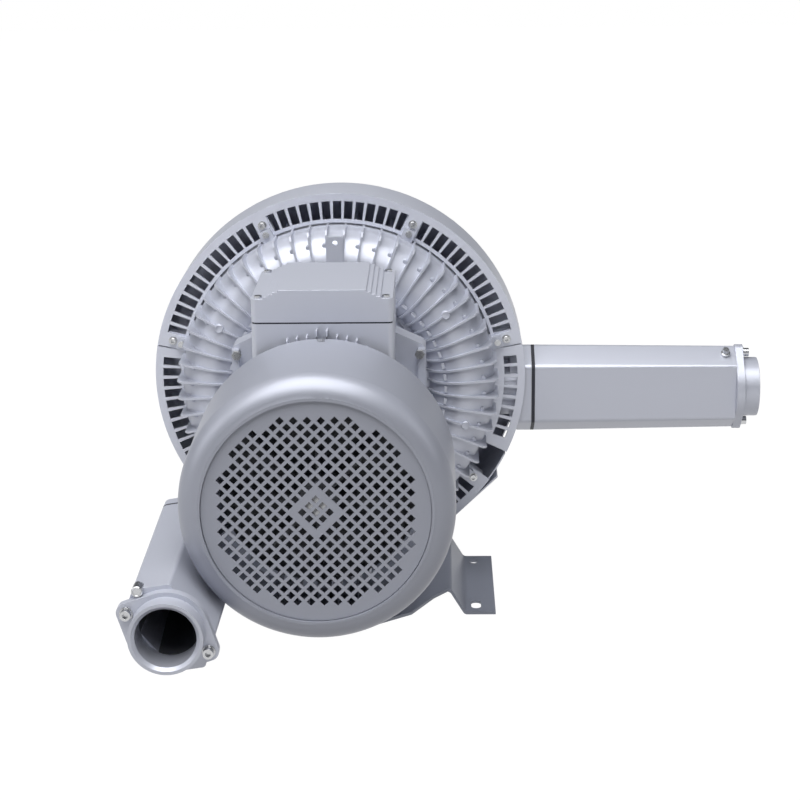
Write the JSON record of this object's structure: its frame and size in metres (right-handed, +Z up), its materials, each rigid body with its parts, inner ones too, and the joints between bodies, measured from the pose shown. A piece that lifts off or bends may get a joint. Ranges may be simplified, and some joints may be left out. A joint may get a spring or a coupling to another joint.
{
  "type": "side channel blower",
  "caption": "Two-stage side channel blower with a flanged electric motor, ribbed casing, slotted guard ring, hood and two hexagonal silencers.",
  "frame": {"origin": "on the floor under the shaft axis, midway between the front and rear foot holes", "axes": "+Z up, +X towards the outlet spigot, -Y along the shaft towards the fan cowl"},
  "size_m": [1.12, 1.082, 0.707],
  "materials": {
    "silver_enamel": "satin",
    "grey_enamel": "satin",
    "cast_aluminium": "gloss",
    "bare_aluminium": "satin",
    "zinc_steel": "satin",
    "bright_steel": "polished",
    "core_steel": "matte",
    "copper_winding": "gloss",
    "brass_stud": "satin",
    "black_rubber": "matte",
    "black_plastic": "matte",
    "grey_plastic": "matte",
    "foam_lining": "matte"
  },
  "bodies": {
    "stator_frame": {"cable_plugs": "black_plastic", "casing_bolts": "zinc_steel", "closing_sheet": "silver_enamel", "cowl_screws": "zinc_steel", "drive_end_bearing_outer_race": "bright_steel", "drive_end_bearing_rollers": "bright_steel", "drive_end_shield": "cast_aluminium", "fan_cowl": "silver_enamel", "fan_end_bearing_outer_race": "bright_steel", "fan_end_bearing_rollers": "bright_steel", "fan_end_shield": "cast_aluminium", "flange_bolts": "zinc_steel", "foot_bracket": "grey_enamel", "front_casting": "cast_aluminium", "guard_lower": "silver_enamel", "guard_right": "silver_enamel", "guard_screws": "zinc_steel", "guard_upper": "silver_enamel", "hood": "silver_enamel", "inlet_adaptor": "cast_aluminium", "inlet_drain_plug": "zinc_steel", "inlet_pipe": "cast_aluminium", "inlet_silencer": "cast_aluminium", "inlet_silencer_foam": "foam_lining", "inlet_silencer_gasket": "black_rubber", "inlet_spigot": "cast_aluminium", "inlet_spigot_screws": "zinc_steel", "intake_grille": "silver_enamel", "leg_bolts": "zinc_steel", "lid_screws": "zinc_steel", "motor_frame": "cast_aluminium", "neck_bolts": "zinc_steel", "outlet_adaptor": "cast_aluminium", "outlet_silencer": "cast_aluminium", "outlet_silencer_foam": "foam_lining", "outlet_silencer_gasket": "black_rubber", "outlet_spigot": "cast_aluminium", "outlet_spigot_screws": "zinc_steel", "partition_disc": "bare_aluminium", "rear_casting": "cast_aluminium", "shaft_seals": "black_rubber", "stator_core": "core_steel", "stator_windings": "copper_winding", "terminal_block": "black_plastic", "terminal_box_base": "cast_aluminium", "terminal_box_gasket": "black_rubber", "terminal_box_lid": "cast_aluminium", "terminal_studs": "brass_stud"},
    "rotor": {"cooling_fan": "grey_plastic", "drive_end_bearing_inner_race": "bright_steel", "fan_end_bearing_inner_race": "bright_steel", "impeller_key": "bright_steel", "impeller_stage_1": "bare_aluminium", "impeller_stage_2": "bare_aluminium", "motor_shaft": "bright_steel", "rear_fan": "black_plastic", "rotor_core": "core_steel", "rotor_end_rings": "bare_aluminium", "shaft_nut": "bright_steel"}
  },
  "joints": [
    {"name": "shaft_spin", "type": "hinge", "parent": "stator_frame", "child": "rotor", "pos_m": [0, 0, 0.365], "axis": [0, 1, 0], "continuous": true}
  ]
}
